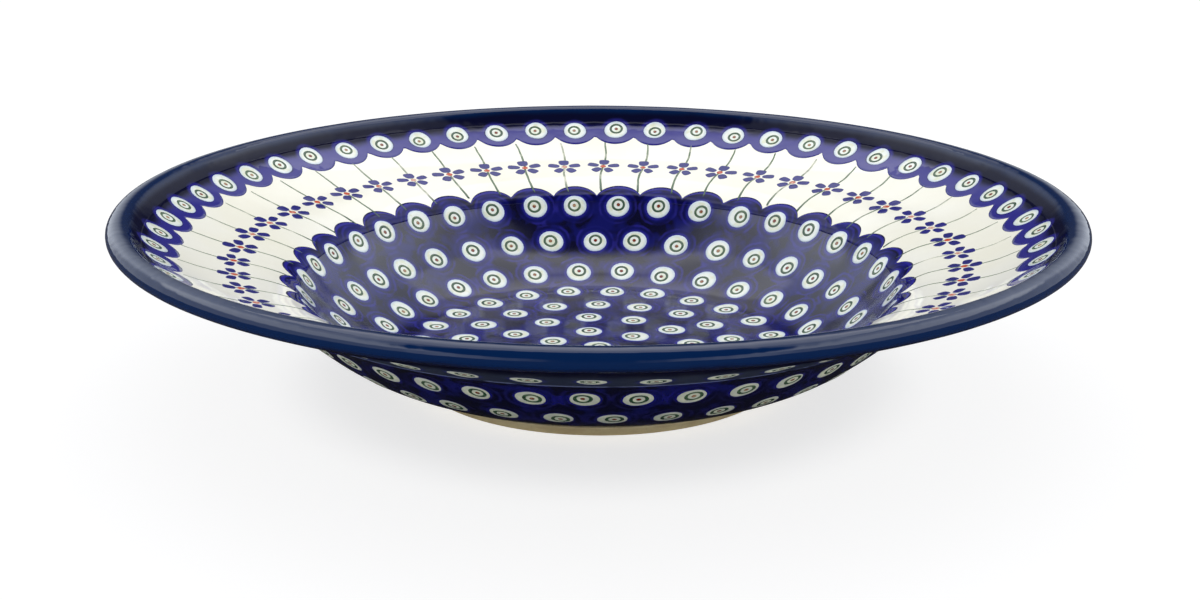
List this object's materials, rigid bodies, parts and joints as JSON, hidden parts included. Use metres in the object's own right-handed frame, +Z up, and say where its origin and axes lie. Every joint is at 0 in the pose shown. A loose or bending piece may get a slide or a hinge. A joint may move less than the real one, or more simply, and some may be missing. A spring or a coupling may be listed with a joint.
{
  "type": "deep plate",
  "caption": "Round glazed stoneware deep plate: wide flange with a raised rounded lip round a bowl-shaped well, on a low bare foot ring.",
  "frame": {"origin": "centre of the face the foot ring stands on, level with the table", "axes": "+Z up along the plate's axis, out of the well; X and Y lie in the table's plane, the picture's camera is on the -Y side"},
  "size_m": [0.3, 0.3, 0.058],
  "materials": {
    "bare_clay": "matte",
    "cobalt_glaze": "gloss",
    "cream_glaze": "gloss",
    "navy_glaze": "gloss",
    "violet_blue": "gloss",
    "pale_eye": "gloss",
    "green_ring": "gloss",
    "red_dot": "gloss",
    "orange_heart": "gloss",
    "olive_line": "gloss",
    "outside_eye": "gloss"
  },
  "bodies": {
    "root": {"clay_body": "bare_clay", "foot_ring": "bare_clay", "well_glaze": "cobalt_glaze", "flange_glaze": "cream_glaze", "rim_glaze": "navy_glaze", "underside_glaze": "navy_glaze", "outer_wall_glaze": "cobalt_glaze", "base_glaze": "cream_glaze", "flange_scallops": "violet_blue", "well_scallops": "cobalt_glaze", "flange_eyes": "pale_eye", "flange_eye_rings": "green_ring", "flange_eye_dots": "red_dot", "well_eyes": "pale_eye", "well_eye_rings": "green_ring", "well_eye_dots": "red_dot", "flower_petals": "violet_blue", "flower_hearts": "orange_heart", "flower_stems": "olive_line", "outside_eyes": "outside_eye", "outside_eye_rings": "green_ring", "outside_eye_dots": "red_dot"}
  },
  "joints": []
}
